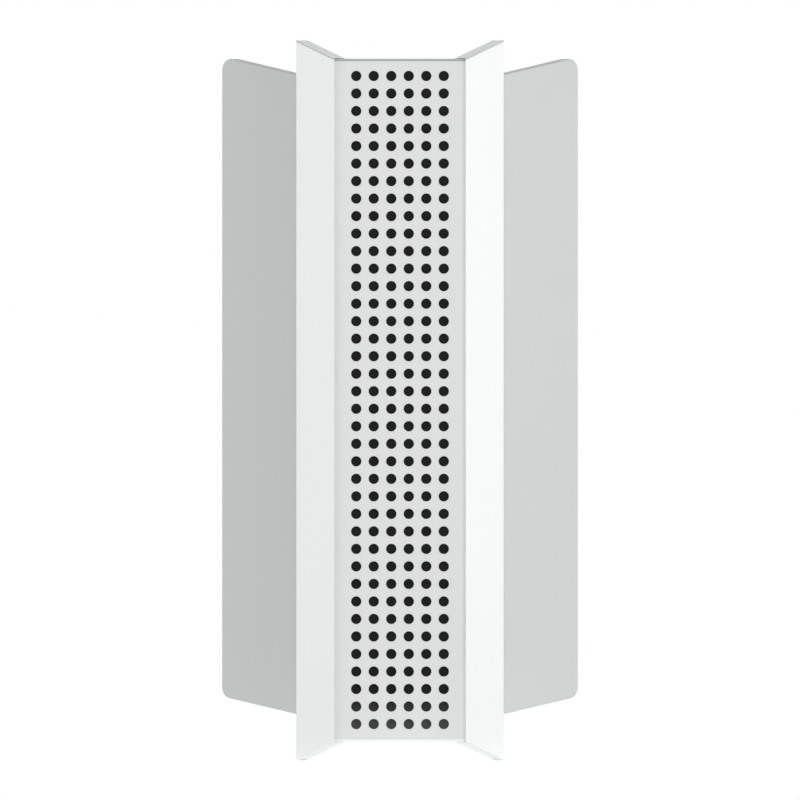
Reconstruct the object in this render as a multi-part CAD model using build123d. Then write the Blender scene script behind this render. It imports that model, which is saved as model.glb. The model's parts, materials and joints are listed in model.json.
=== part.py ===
from build123d import *
import math
import os

# A free-standing tower router. X is to the right, Y to the back and Z up, in millimetres.
# Pieces are drawn with the front edges of the plates at Y = 0 and centred at the end.

# Tower
shell_height = 230.2        # side shells, end to end
body_width = 66.4           # across the outer faces of the side shells
side_wall_depth = 36.0      # side walls, from the plates to their rear edges
grille_width = 42.0         # opening between the two plates
plate_sweep = 45.0          # degrees each plate turns back from the front
plate_thickness = 5.2
plate_end_rise = 5.9        # a plate grows this much at each end on its way back
plate_bend_radius = 0.8
wall_thickness = 3.7        # side walls behind the plates
foot_stand = 0.2            # feet below the side walls

# Perforated front
grille_recess = 1.6
grille_thickness = 2.0
hole_diameter = 3.3
hole_pitch = 5.605
hole_margin = 4.6           # least distance from a hole's centre to the panel's edge
flange_thickness = 1.1
hook_height = 8.0
hook_barb = 1.0
hook_end_distance = 22.0    # outer hooks from the panel's ends
screen_thickness = 0.4

# Covers and chassis
cover_thickness = 2.0
rear_recess = 2.2           # rear cover inside the side walls' rear edges
chassis_wall = 2.0
chassis_window_half = 15.2
rail_width = 2.0
rail_height = 2.0
post_reach = 5.1            # screw posts stand this far in from the side walls
post_height = 8.0
post_length = 8.8
post_end_distance = 20.0    # outer posts from the ends of the side shells
air_front_margin = 6.0      # chassis openings behind its front wall
air_rear_margin = 5.0       # chassis openings in front of the rear cover
air_side_margin = 4.0       # end openings inside the chassis walls
wall_windows = 3            # openings in each chassis wall
window_end_margin = 6.0     # openings from the standoffs
window_land = 4.0           # wall left between two openings
boss_height = 7.0
boss_pilot = 6.0
boss_side_inset = 1.0       # base screws inside the chassis walls
boss_front_inset = 3.5
boss_rear_inset = 4.0
slot_width = 2.6
slot_pitch = 6.0
slot_side_margin = 6.0      # slots inside the chassis walls
slot_front_margin = 7.0
slot_rear_margin = 6.0

# Wings
wing_sweep = 45.0           # degrees each wing turns back from the front
wing_span = 37.1            # hinge axis to the outer edge, along the wing
wing_height = 204.7
wing_lift = 4.6             # the wing's middle above the middle of the side shells
wing_rise = 0.169           # upward slope of the wing's long ends
wing_thickness = 4.2
wing_corner_radius = 3.7
wing_edge_radius = 0.5
root_gap = 0.8              # wing's inner edge from the hinge knuckles
wing_rim = 1.7              # solid border round the hollow
wing_hollow = 1.0           # depth of the hollow in each shell
antenna_thickness = 0.8
hinge_inboard = 0.1         # hinge axis inside the side wall's inner face
hinge_setback = 2.9         # hinge axis behind the side walls
knuckle_radius = 2.4
knuckle_length = 8.0
knuckle_root = 2.0          # hinge lug's length inside the side wall
barrel_length = 12.0
hinge_inset = 24.0          # outer knuckle from the end of the side shell
pin_radius = 1.0

# Board and what it carries
board_thickness = 1.6
board_front_gap = 4.4       # behind the grille panel
board_rear_gap = 4.0        # in front of the rear cover
board_end_gap = 2.0
standoff_radius = 2.5
standoff_pilot = 7.0
standoff_end_inset = 4.0    # standoffs from the board's ends
standoff_front_inset = 5.0
standoff_rear_inset = 4.0
chip_size = 14.0
chip_height = 1.6
pad_height = 0.5
memory_size = (11.0, 8.0, 1.0)
memory_gap = 4.0
transformer_size = (8.0, 14.0, 4.0)
transformer_gap = 6.0       # from the jacks' inner ends to a transformer's middle
sink_depth = 20.0
sink_base = 2.4
sink_fin_height = 12.0
sink_fin = 1.0
sink_fin_pitch = 2.7
sink_end_gap = 10.0         # below the board's top
sink_front_gap = 2.0        # behind the board's front edge
sink_screw_depth = 3.0      # from the heat sink's long edges
shield_height = 2.2
shield_wall = 0.4
shield_front_gap = 3.0      # from the board's front edge
shield_rear_gap = 10.0      # from the board's rear edge
shield_gap = 18.0           # between the two shields
shield_margin = 5.8         # from a heat sink screw to the nearer shield
sink_screw_inset = 4.0      # from the heat sink's ends

# Ports, each at its height above the table
jack_width = 16.0
jack_height = 13.5
jack_depth = 21.0
jack_proud = 0.3
socket_width = 11.8
socket_floor = 2.0
socket_height = 7.4
latch_width = 6.2
latch_height = 2.0
socket_depth = 14.0
inlet_height = 24.0
uplink_height = 38.0
jack_pitch = 18.0
local_jacks = 3
usb_width = 13.1
usb_height = 5.7
usb_depth = 14.0
usb_wall = 0.4
usb_floor = 3.0
usb_gap = 2.5               # from the top jack
tongue_width = 11.0
tongue_thickness = 1.9
tongue_gap = 0.8
mouth_setback = 1.0         # contacts inside a port's mouth
inlet_width = 9.0
inlet_reach = 11.0
inlet_depth = 14.4
inlet_floor = 4.0
inlet_hole_radius = 3.2
inlet_pin_radius = 1.0

# Buttons: radius, how far it stands proud, travel
button_sizes = {
    "reset": (1.3, 0.0, 0.8),
    "pairing": (3.0, 1.4, 1.0),
    "power": (4.0, 2.2, 1.2),
}
button_pitch = 14.0
button_gap = 7.0            # from the data port to the first button's middle
button_flange = 1.0
flange_depth = 1.2
button_edge_radius = 0.5
button_stem_radius = 1.0
switch_axis = 4.2           # above the board
switch_size = 7.0
switch_depth = 4.6
plunger_reach = 1.6
plunger_radius = 1.6
plunger_setback = 0.8       # plunger tip inside the board's rear edge

# Status lamp and its guide
lamp_height = 12.0          # above the board's lower end
lamp_size = (1.2, 1.6, 1.6)
guide_size = (4.0, 3.6)
guide_overlap = 1.0         # past the board's back face

# Feet and fasteners
foot_length = 14.0
foot_width = 2.3
foot_thickness = 1.0
foot_inset = 1.5            # feet from the ends of the side walls
screw_radius = 1.2
screw_head_radius = 2.3
screw_head_height = 1.5
recess_share = 0.8          # driver recess against the shank
screw_end_gap = 0.3
base_screw_bite = 5.0
board_screw_bite = 6.0

# Clearances
fixed_gap = 0.15            # between fixed pieces
run_gap = 0.3               # between pieces that move on each other
pin_gap = 0.02              # pin in its knuckle
barrel_gap = 0.06           # pin in the barrel that turns
thread_gap = 0.03
hole_gap = 0.2              # screw in the piece it passes through
cut = 1.0                   # a cutting form runs on past the face it cuts
root = 0.5                  # a joined form starts inside the one it joins

# Places that follow from the sizes
half_opening = grille_width / 2
half_width = body_width / 2
wall_inner = half_width - wall_thickness
sweep = math.radians(plate_sweep)
plate_along = (math.cos(sweep), math.sin(sweep))
plate_inward = (-math.sin(sweep), math.cos(sweep))
plate_length = (half_width - half_opening) / plate_along[0]
plate_back_y = plate_length * plate_along[1]
ledge_x = half_opening + plate_thickness * plate_inward[0]
ledge_y = plate_thickness * plate_inward[1]
inner_corner_y = ledge_y + (wall_inner - ledge_x) * math.tan(sweep)
body_depth = plate_back_y + side_wall_depth

shell_bottom = foot_stand
shell_top = shell_bottom + shell_height
shell_middle = shell_bottom + shell_height / 2
grille_bottom = shell_bottom + plate_end_rise
grille_top = shell_top - plate_end_rise
grille_front_y = grille_recess
grille_back_y = grille_front_y + grille_thickness
flange_outer = ledge_x - fixed_gap
flange_inner = flange_outer - flange_thickness

base_top = grille_bottom + cover_thickness
base_screw_seat = grille_bottom + screw_head_height
top_cover_top = grille_top - run_gap
top_cover_bottom = top_cover_top - cover_thickness
cover_outer_y = body_depth - rear_recess
cover_inner_y = cover_outer_y - cover_thickness
chassis_front_y = inner_corner_y + fixed_gap
chassis_half = wall_inner - post_reach - 4 * fixed_gap
chassis_inner = chassis_half - chassis_wall
post_heights = (shell_bottom + post_end_distance, shell_middle, shell_top - post_end_distance)
post_x = wall_inner - post_reach / 2

board_face = -jack_height / 2
board_back = board_face - board_thickness
board_front_y = grille_back_y + board_front_gap
board_rear_y = cover_inner_y - board_rear_gap
board_bottom = base_top + chassis_wall + board_end_gap
board_top = top_cover_bottom - chassis_wall - board_end_gap
standoff_heights = (board_bottom + standoff_end_inset, board_top - standoff_end_inset)
standoff_depths = (chassis_front_y + standoff_front_inset, board_rear_y - standoff_rear_inset)

jack_face_y = cover_outer_y + jack_proud
usb_z = uplink_height + local_jacks * jack_pitch + (jack_width + usb_width) / 2 + usb_gap
first_button_z = usb_z + usb_width / 2 + button_gap
button_x = board_face + switch_axis
button_heights = {name: first_button_z + i * button_pitch for i, name in enumerate(button_sizes)}
vent_bottom = first_button_z + len(button_sizes) * button_pitch
sink_bottom = usb_z - usb_width / 2
sink_top = board_top - sink_end_gap
chip_z = (sink_bottom + sink_top) / 2
sink_front_y = board_front_y + sink_front_gap
sink_middle_y = sink_front_y + sink_depth / 2
sink_base_x = board_face + chip_height + pad_height
sink_screw_heights = (sink_bottom + sink_screw_inset, sink_top - sink_screw_inset)
shield_length = (sink_screw_heights[1] - sink_screw_heights[0] - shield_gap) / 2 - shield_margin

hinge_x = wall_inner - hinge_inboard
hinge_y = body_depth + hinge_setback
turn = math.radians(wing_sweep)
wing_along = (math.cos(turn), math.sin(turn))
wing_front = (math.sin(turn), -math.cos(turn))
wing_root = knuckle_radius + root_gap
wing_middle = shell_middle + wing_lift


# Simple forms between two limits on each axis
def block(x, y, z):
    centre = Pos(sum(x) / 2, sum(y) / 2, sum(z) / 2)
    return centre * Box(abs(x[1] - x[0]), abs(y[1] - y[0]), abs(z[1] - z[0]))


def rod(axis, radius, at, span):
    length = span[1] - span[0]
    middle = (span[0] + span[1]) / 2
    if axis == "x":
        return Pos(middle, at[0], at[1]) * Rot(0, 90, 0) * Cylinder(radius, length)
    if axis == "y":
        return Pos(at[0], middle, at[1]) * Rot(90, 0, 0) * Cylinder(radius, length)
    return Pos(at[0], at[1], middle) * Cylinder(radius, length)


def prism(points, z):
    outline = make_face(Polyline(*points, close=True))
    return Pos(0, 0, z[0]) * extrude(outline, z[1] - z[0], dir=(0, 0, 1))


def pan_screw(axis, at, seat, way, length):
    # The head sits on its seat and the shank runs the other way
    head_end = seat - way * screw_head_height
    shank_end = seat + way * length
    head = rod(axis, screw_head_radius, at, sorted((seat, head_end)))
    recess_end = head_end + way * screw_head_height / 2
    recess = rod(axis, screw_radius * recess_share, at, sorted((head_end, recess_end)))
    return head - recess + rod(axis, screw_radius, at, sorted((seat, shank_end)))


# Side shells, drawn for the right side
def plate_end_wedge(end):
    slope = plate_end_rise / plate_length
    reach = 2 * plate_thickness
    tip = end * shell_height / 2
    outside = tip + end * reach
    points = [
        (plate_length, tip),
        (plate_length, outside),
        (-reach, outside),
        (-reach, tip - end * slope * (plate_length + reach)),
    ]
    plane = Plane(
        origin=(half_opening, 0, shell_middle),
        x_dir=(*plate_along, 0),
        z_dir=(-plate_inward[0], -plate_inward[1], 0),
    ).offset(plate_thickness)
    outline = make_face(plane * Polyline(*points, close=True))
    return extrude(outline, 3 * plate_thickness, dir=(*plate_inward, 0))


def hinge_spans(end, length, offset):
    # A stretch of the hinge, counted inwards from one end of the side shell
    outer = shell_middle + end * (shell_height / 2 - hinge_inset - offset)
    return sorted((outer, outer - end * length))


def side_shell():
    outline = [
        (half_opening, 0),
        (half_width, plate_back_y),
        (half_width, body_depth),
        (wall_inner, body_depth),
        (wall_inner, inner_corner_y),
        (ledge_x, ledge_y),
    ]
    shell = prism(outline, (shell_bottom, shell_top))
    bend = shell.edges().filter_by(Axis.Z).sort_by_distance((half_width, plate_back_y, shell_middle))[0]
    shell = fillet(bend, plate_bend_radius)
    for end in (-1, 1):
        shell -= plate_end_wedge(end)
    rebate_height = (grille_bottom - fixed_gap, grille_top + fixed_gap)
    shell -= block((ledge_x - cut, half_opening), (-cut, ledge_y), rebate_height)
    rail_depth = (chassis_front_y + cut, cover_inner_y - fixed_gap)
    for top in (grille_bottom, top_cover_bottom):
        shell += block((wall_inner - rail_width, wall_inner + cut), rail_depth, (top - rail_height, top))
    for height in post_heights:
        post = block(
            (wall_inner - post_reach, wall_inner + cut),
            (cover_inner_y - post_length, cover_inner_y),
            (height - post_height / 2, height + post_height / 2),
        )
        pilot_depth = (cover_inner_y - post_length + cut, cover_inner_y + cut)
        shell += post - rod("y", screw_radius + thread_gap, (post_x, height), pilot_depth)
    for end in (-1, 1):
        span = hinge_spans(end, knuckle_length, 0)
        knuckle = rod("z", knuckle_radius, (hinge_x, hinge_y), span)
        knuckle += block((wall_inner, hinge_x + knuckle_radius), (body_depth - knuckle_root, hinge_y), span)
        shell += knuckle - rod("z", pin_radius + pin_gap, (hinge_x, hinge_y), span)
    for middle in foot_depths():
        pocket_half = foot_length / 2 + fixed_gap
        shell -= block(
            (foot_x() - foot_width / 2 - fixed_gap, foot_x() + foot_width / 2 + fixed_gap),
            (middle - pocket_half, middle + pocket_half),
            (shell_bottom - cut, foot_thickness),
        )
    return shell


# Feet, seated in the lower edges of the side walls
def foot_x():
    return half_width - wall_thickness / 2


def foot_depths():
    inset = foot_length / 2 + foot_inset
    return (plate_back_y + inset, body_depth - inset)


def foot(side, middle):
    x = side * foot_x()
    return block(
        (x - foot_width / 2, x + foot_width / 2),
        (middle - foot_length / 2, middle + foot_length / 2),
        (0, foot_thickness),
    )


# Perforated front with two flanges that hook into the chassis
def hook_heights():
    reach = (grille_top - grille_bottom) / 2 - hook_end_distance
    return (shell_middle - reach, shell_middle, shell_middle + reach)


def front_grille():
    width = grille_width - 2 * fixed_gap
    height = grille_top - grille_bottom
    columns = int((width - 2 * hole_margin) / hole_pitch) + 1
    rows = int((height - 2 * hole_margin) / hole_pitch) + 1
    plane = Plane(origin=(0, grille_back_y, shell_middle), x_dir=(1, 0, 0), z_dir=(0, -1, 0))
    spots = GridLocations(hole_pitch, hole_pitch, columns, rows)
    holes = [spot * Circle(hole_diameter / 2) for spot in spots]
    grille = extrude(plane * (Rectangle(width, height) - holes), grille_thickness)
    flange_height = (base_top + run_gap, top_cover_bottom - run_gap)
    for side in (-1, 1):
        flange_x = sorted((side * flange_inner, side * flange_outer))
        grille += block(flange_x, (grille_back_y - root, chassis_front_y), flange_height)
        barb_x = sorted((side * flange_inner, side * (flange_outer + hook_barb)))
        behind = chassis_front_y + chassis_wall + fixed_gap
        for middle in hook_heights():
            span = (middle - hook_height / 2, middle + hook_height / 2)
            grille += block(flange_x, (chassis_front_y - root, behind + hook_barb), span)
            grille += block(barb_x, (behind, behind + hook_barb), span)
    return grille


def dust_screen():
    half = flange_inner - fixed_gap
    depth = (grille_back_y, grille_back_y + screen_thickness)
    return block((-half, half), depth, (base_top + run_gap, top_cover_bottom - run_gap))


# Chassis: a box open to the rear, with windows for air
def inner_chassis():
    outside_y = (chassis_front_y, cover_inner_y)
    chassis = block((-chassis_half, chassis_half), outside_y, (base_top, top_cover_bottom))
    inside_y = (chassis_front_y + chassis_wall, cover_inner_y + cut)
    inside_z = (base_top + chassis_wall, top_cover_bottom - chassis_wall)
    chassis -= block((-chassis_inner, chassis_inner), inside_y, inside_z)
    window_z = (board_bottom - cut, board_top + cut)
    window_y = (chassis_front_y - cut, chassis_front_y + chassis_wall + cut)
    chassis -= block((-chassis_window_half, chassis_window_half), window_y, window_z)
    air_y = (chassis_front_y + air_front_margin, cover_inner_y - air_rear_margin)
    air_half = chassis_inner - air_side_margin
    chassis -= block((-air_half, air_half), air_y, (base_top - cut, top_cover_bottom + cut))
    window_room = standoff_heights[1] - standoff_heights[0] - 2 * window_end_margin
    window_height = window_room / wall_windows
    for i in range(wall_windows):
        low = standoff_heights[0] + window_end_margin + i * window_height
        span = (low + window_land / 2, low + window_height - window_land / 2)
        chassis -= block((-chassis_half - cut, chassis_half + cut), air_y, span)
    for middle in hook_heights():
        span = (middle - hook_height / 2 - run_gap, middle + hook_height / 2 + run_gap)
        for side in (-1, 1):
            slot_x = sorted((side * (flange_inner - run_gap), side * (flange_outer + run_gap)))
            chassis -= block(slot_x, window_y, span)
    for y in standoff_depths:
        for z in standoff_heights:
            standoff = rod("x", standoff_radius, (y, z), (-chassis_inner - cut, board_back))
            pilot = (board_back - standoff_pilot, board_back)
            chassis += standoff - rod("x", screw_radius + thread_gap, (y, z), pilot)
    for x, y in base_screw_spots():
        boss = rod("z", standoff_radius, (x, y), (base_top, base_top + boss_height))
        chassis += boss
        chassis -= rod("z", screw_radius + thread_gap, (x, y), (base_top, base_top + boss_pilot))
    return chassis


def base_screw_spots():
    x = chassis_inner - boss_side_inset
    depths = (chassis_front_y + boss_front_inset, cover_inner_y - boss_rear_inset)
    return [(side * x, y) for side in (-1, 1) for y in depths]


# Covers between the side shells
def cover_plan():
    shift = fixed_gap / math.sin(sweep)
    edge_x = wall_inner - fixed_gap
    front_y = grille_back_y + run_gap
    front_x = ledge_x + (front_y - ledge_y) / math.tan(sweep) - shift
    bend_y = ledge_y + (edge_x + shift - ledge_x) * math.tan(sweep)
    half = [(front_x, front_y), (edge_x, bend_y), (edge_x, cover_inner_y)]
    return half + [(-x, y) for x, y in reversed(half)]


def end_cover(z):
    cover = prism(cover_plan(), z)
    slots = int(2 * (chassis_inner - slot_side_margin) / slot_pitch) + 1
    through = (z[0] - cut, z[1] + cut)
    span_y = (chassis_front_y + slot_front_margin, cover_inner_y - slot_rear_margin)
    for i in range(slots):
        x = (i - (slots - 1) / 2) * slot_pitch
        cover -= block((x - slot_width / 2, x + slot_width / 2), span_y, through)
        for y in span_y:
            cover -= rod("z", slot_width / 2, (x, y), through)
    return cover


def base_cover():
    cover = end_cover((grille_bottom, base_top))
    for spot in base_screw_spots():
        cover -= rod("z", screw_radius + hole_gap, spot, (grille_bottom - cut, base_top + cut))
        cover -= rod("z", screw_head_radius + hole_gap, spot, (grille_bottom - cut, base_screw_seat))
    return cover


def rear_cover():
    half = wall_inner - fixed_gap
    depth = (cover_inner_y, cover_outer_y)
    through = (cover_inner_y - cut, cover_outer_y + cut)
    cover = block((-half, half), depth, (grille_bottom, top_cover_top))
    for x, z, width, height in port_cutouts():
        cover -= block((x - width / 2, x + width / 2), through, (z - height / 2, z + height / 2))
    for name, (radius, proud, travel) in button_sizes.items():
        cover -= rod("y", radius + run_gap, (button_x, button_heights[name]), through)
    rows = int((post_heights[2] - vent_bottom) / slot_pitch) + 1
    slot_half = chassis_inner - slot_side_margin
    for i in range(rows):
        z = vent_bottom + i * slot_pitch
        cover -= block((-slot_half, slot_half), through, (z - slot_width / 2, z + slot_width / 2))
        for side in (-1, 1):
            cover -= rod("y", slot_width / 2, (side * slot_half, z), through)
    for side in (-1, 1):
        for height in post_heights:
            cover -= rod("y", screw_radius + hole_gap, (side * post_x, height), through)
    return cover


def port_cutouts():
    # Middle across, middle height, width and height of each port's window in the rear cover
    grow = 2 * fixed_gap
    windows = [(0, z, jack_height + grow, jack_width + grow) for z in jack_heights()]
    windows.append((board_face + usb_height / 2, usb_z, usb_height + grow, usb_width + grow))
    windows.append((board_face + inlet_reach / 2, inlet_height, inlet_reach + grow, inlet_width + grow))
    return windows


def jack_heights():
    return [uplink_height + i * jack_pitch for i in range(local_jacks + 1)]


# Main board and what is soldered to it
def main_board():
    board = block((board_back, board_face), (board_front_y, board_rear_y), (board_bottom, board_top))
    for y in standoff_depths:
        for z in standoff_heights:
            board -= rod("x", screw_radius + hole_gap, (y, z), (board_back - cut, board_face + cut))
    for y, z in sink_screw_spots():
        board -= rod("x", screw_radius + hole_gap, (y, z), (board_back - cut, board_face + cut))
    return board


def sink_screw_spots():
    depths = (sink_front_y + sink_screw_depth, sink_front_y + sink_depth - sink_screw_depth)
    return [(y, z) for y in depths for z in sink_screw_heights]


def chip(size_y, size_z, height, y, z):
    return block(
        (board_face, board_face + height),
        (y - size_y / 2, y + size_y / 2),
        (z - size_z / 2, z + size_z / 2),
    )


def network_transformers():
    # One for each pair of jacks, between the two
    y = jack_face_y - jack_depth - transformer_gap
    lower_of_pairs = jack_heights()[:-1:2]
    return [chip(*transformer_size, y, z + jack_pitch / 2) for z in lower_of_pairs]


def heat_sink():
    base_x = (sink_base_x, sink_base_x + sink_base)
    span_z = (sink_bottom, sink_top)
    sink = block(base_x, (sink_front_y, sink_front_y + sink_depth), span_z)
    fins = int((sink_depth - sink_fin) / sink_fin_pitch) + 1
    first = sink_middle_y - (fins - 1) * sink_fin_pitch / 2
    for i in range(fins):
        y = first + i * sink_fin_pitch
        fin_x = (base_x[1] - root, base_x[1] + sink_fin_height)
        sink += block(fin_x, (y - sink_fin / 2, y + sink_fin / 2), span_z)
    for spot in sink_screw_spots():
        sink += rod("x", standoff_radius, spot, (board_face, sink_base_x + root))
        sink -= rod("x", screw_radius + thread_gap, spot, (board_face, base_x[1]))
    return sink


def radio_shield(end):
    z = chip_z + end * (shield_gap + shield_length) / 2
    depth = (board_front_y + shield_front_gap, board_rear_y - shield_rear_gap)
    span = (z - shield_length / 2, z + shield_length / 2)
    cover = block((board_back - shield_height, board_back), depth, span)
    inside_y = (depth[0] + shield_wall, depth[1] - shield_wall)
    inside_z = (span[0] + shield_wall, span[1] - shield_wall)
    return cover - block((board_back - shield_height + shield_wall, board_back + cut), inside_y, inside_z)


def network_jack(z):
    depth = (jack_face_y - jack_depth, jack_face_y)
    jack = block((board_face, board_face + jack_height), depth, (z - jack_width / 2, z + jack_width / 2))
    mouth = (jack_face_y - socket_depth, jack_face_y + cut)
    floor = board_face + socket_floor
    jack -= block((floor, floor + socket_height), mouth, (z - socket_width / 2, z + socket_width / 2))
    roof = floor + socket_height
    jack -= block((roof - root, roof + latch_height), mouth, (z - latch_width / 2, z + latch_width / 2))
    return jack


def usb_port():
    depth = (jack_face_y - usb_depth, jack_face_y)
    span = (usb_z - usb_width / 2, usb_z + usb_width / 2)
    port = block((board_face, board_face + usb_height), depth, span)
    mouth = (jack_face_y - usb_depth + usb_floor, jack_face_y + cut)
    inside_x = (board_face + usb_wall, board_face + usb_height - usb_wall)
    port -= block(inside_x, mouth, (span[0] + usb_wall, span[1] - usb_wall))
    tongue_x = (inside_x[1] - tongue_gap - tongue_thickness, inside_x[1] - tongue_gap)
    tongue_z = (usb_z - tongue_width / 2, usb_z + tongue_width / 2)
    return port + block(tongue_x, (mouth[0] - root, jack_face_y - mouth_setback), tongue_z)


def power_inlet():
    depth = (jack_face_y - inlet_depth, jack_face_y)
    span = (inlet_height - inlet_width / 2, inlet_height + inlet_width / 2)
    inlet = block((board_face, board_face + inlet_reach), depth, span)
    spot = (board_face + inlet_reach / 2, inlet_height)
    bottom = jack_face_y - inlet_depth + inlet_floor
    inlet -= rod("y", inlet_hole_radius, spot, (bottom, jack_face_y + cut))
    return inlet + rod("y", inlet_pin_radius, spot, (bottom - root, jack_face_y - mouth_setback))


# A switch on the board, with its plunger facing the button behind it
plunger_tip_y = board_rear_y - plunger_setback
switch_rear_y = plunger_tip_y - plunger_reach


def button_switch(name):
    z = button_heights[name]
    depth = (switch_rear_y - switch_depth, switch_rear_y)
    span = (z - switch_size / 2, z + switch_size / 2)
    body = block((board_face, board_face + switch_size), depth, span)
    return body + rod("y", plunger_radius, (button_x, z), (switch_rear_y - root, plunger_tip_y))


def push_button(name):
    radius, proud, travel = button_sizes[name]
    spot = (button_x, button_heights[name])
    flange_y = (cover_inner_y - run_gap - flange_depth, cover_inner_y - run_gap)
    button = rod("y", radius, spot, (flange_y[0], cover_outer_y + proud))
    if proud > 0:
        rim = button.edges().group_by(Axis.Y)[-1]
        button = fillet(rim, min(button_edge_radius, proud / 2))
    button += rod("y", radius + button_flange, spot, flange_y)
    stem_y = (plunger_tip_y + travel + run_gap, flange_y[0] + root)
    return button + rod("y", button_stem_radius, spot, stem_y)


# Status lamp on the front edge of the board and the guide that leads its light to the grille
lamp_z = board_bottom + lamp_height


def status_lamp():
    across, deep, high = lamp_size
    depth = (board_front_y, board_front_y + deep)
    return block((board_face, board_face + across), depth, (lamp_z - high / 2, lamp_z + high / 2))


def light_guide():
    depth = (grille_back_y + screen_thickness + fixed_gap, board_front_y - fixed_gap)
    across, high = guide_size
    left = board_back - guide_overlap
    return block((left, left + across), depth, (lamp_z - high / 2, lamp_z + high / 2))


# Wings, drawn for the right side in the plane of the wing
def wing_plane(front):
    return Plane(
        origin=(hinge_x + front * wing_front[0], hinge_y + front * wing_front[1], wing_middle),
        x_dir=(*wing_along, 0),
        z_dir=(*wing_front, 0),
    )


def wing_outline(inset):
    half = wing_height / 2 - inset
    inner = wing_root + inset
    outer = wing_span - inset
    centre = (wing_root + wing_span) / 2
    points = []
    for along, end in ((inner, -1), (outer, -1), (outer, 1), (inner, 1)):
        points.append((along, end * half + wing_rise * (along - centre)))
    outline = make_face(Polyline(*points, close=True))
    corners = outline.vertices().sort_by(Axis.X)[-2:]
    return fillet(corners, wing_corner_radius - inset)


def wing_slab(inset, front):
    outline = wing_plane(front[0]) * wing_outline(inset)
    return extrude(outline, front[1] - front[0], dir=(*wing_front, 0))


def wing_front_shell():
    half = wing_thickness / 2
    shell = wing_slab(0, (0, half))
    face = shell.faces().sort_by_distance(wing_plane(half).origin + Vector(*wing_along) * wing_span / 2)[0]
    shell = fillet(face.edges(), wing_edge_radius)
    shell -= wing_slab(wing_rim, (-cut, wing_hollow))
    for end in (-1, 1):
        span = hinge_spans(end, barrel_length, knuckle_length + run_gap)
        barrel = rod("z", knuckle_radius, (hinge_x, hinge_y), span)
        web = make_face(wing_plane(0) * Polyline(
            (0, span[0] - wing_middle),
            (wing_root + cut, span[0] - wing_middle),
            (wing_root + cut, span[1] - wing_middle),
            (0, span[1] - wing_middle),
            close=True,
        ))
        barrel += extrude(web, half - wing_edge_radius, dir=(*wing_front, 0))
        shell += barrel - rod("z", pin_radius + barrel_gap, (hinge_x, hinge_y), span)
    return shell


def wing_rear_shell():
    half = wing_thickness / 2
    shell = wing_slab(0, (-half, 0))
    face = shell.faces().sort_by_distance(wing_plane(-half).origin + Vector(*wing_along) * wing_span / 2)[0]
    shell = fillet(face.edges(), wing_edge_radius)
    return shell - wing_slab(wing_rim, (-wing_hollow, cut))


def antenna_board():
    return wing_slab(wing_rim + fixed_gap, (-antenna_thickness / 2, antenna_thickness / 2))


def hinge_pins():
    pins = []
    for end in (-1, 1):
        span = hinge_spans(end, knuckle_length + run_gap + barrel_length, 0)
        pins.append(rod("z", pin_radius, (hinge_x, hinge_y), span))
    return pins


# Screws, each group in one node
def cover_screws():
    spots = [(side * post_x, z) for side in (-1, 1) for z in post_heights]
    return [pan_screw("y", spot, cover_outer_y, -1, post_length) for spot in spots]


def base_screws():
    length = base_top - base_screw_seat + base_screw_bite
    return [pan_screw("z", spot, base_screw_seat, 1, length) for spot in base_screw_spots()]


def board_screws():
    spots = [(y, z) for y in standoff_depths for z in standoff_heights]
    length = board_thickness + board_screw_bite
    return [pan_screw("x", spot, board_face, -1, length) for spot in spots]


def heat_sink_screws():
    length = board_thickness + chip_height + pad_height + sink_base - screw_end_gap
    return [pan_screw("x", spot, board_back, 1, length) for spot in sink_screw_spots()]


# Every node of the assembly
nodes = {
    "front_grille": front_grille(),
    "dust_screen": dust_screen(),
    "inner_chassis": inner_chassis(),
    "top_cover": end_cover((top_cover_bottom, top_cover_top)),
    "base_cover": base_cover(),
    "rear_cover": rear_cover(),
    "main_board": main_board(),
    "processor_chip": chip(chip_size, chip_size, chip_height, sink_middle_y, chip_z),
    "thermal_pad": Pos(chip_height, 0, 0) * chip(chip_size, chip_size, pad_height, sink_middle_y, chip_z),
    "memory_chip": chip(*memory_size, sink_middle_y, chip_z - chip_size - memory_gap),
    "network_transformers": network_transformers(),
    "heat_sink": heat_sink(),
    "radio_shield_lower": radio_shield(-1),
    "radio_shield_upper": radio_shield(1),
    "uplink_jack": network_jack(jack_heights()[0]),
    "usb_port": usb_port(),
    "power_inlet": power_inlet(),
    "status_lamp": status_lamp(),
    "light_guide": light_guide(),
    "cover_screws": cover_screws(),
    "base_screws": base_screws(),
    "board_screws": board_screws(),
    "heat_sink_screws": heat_sink_screws(),
}
for number, height in enumerate(jack_heights()[1:], 1):
    nodes[f"local_jack_{number}"] = network_jack(height)
for name in button_sizes:
    nodes[f"{name}_switch"] = button_switch(name)
    nodes[f"{name}_button"] = push_button(name)
for label, depth in zip(("front", "rear"), foot_depths()):
    nodes[f"{label}_right_foot"] = foot(1, depth)
    nodes[f"{label}_left_foot"] = foot(-1, depth)

right_side = {
    "side_shell": side_shell(),
    "wing_front_shell": wing_front_shell(),
    "wing_rear_shell": wing_rear_shell(),
    "antenna_board": antenna_board(),
    "hinge_pins": hinge_pins(),
}
for name, shape in right_side.items():
    solids = shape if isinstance(shape, list) else [shape]
    nodes[f"right_{name}"] = solids
    nodes[f"left_{name}"] = [mirror(solid, about=Plane.YZ) for solid in solids]


# The origin is under the middle of the assembly's box
def solids_of(shape):
    pieces = shape if isinstance(shape, list) else [shape]
    return [solid for piece in pieces for solid in piece.solids()]


everything = Compound(children=[solid for shape in nodes.values() for solid in solids_of(shape)])
box = everything.bounding_box()
centring = Pos(0, -(box.min.Y + box.max.Y) / 2, 0)
os.makedirs("parts", exist_ok=True)
for name, shape in nodes.items():
    solids = [centring * solid for solid in solids_of(shape)]
    export_step(solids[0] if len(solids) == 1 else Compound(children=solids), f"parts/{name}.step")

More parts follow.
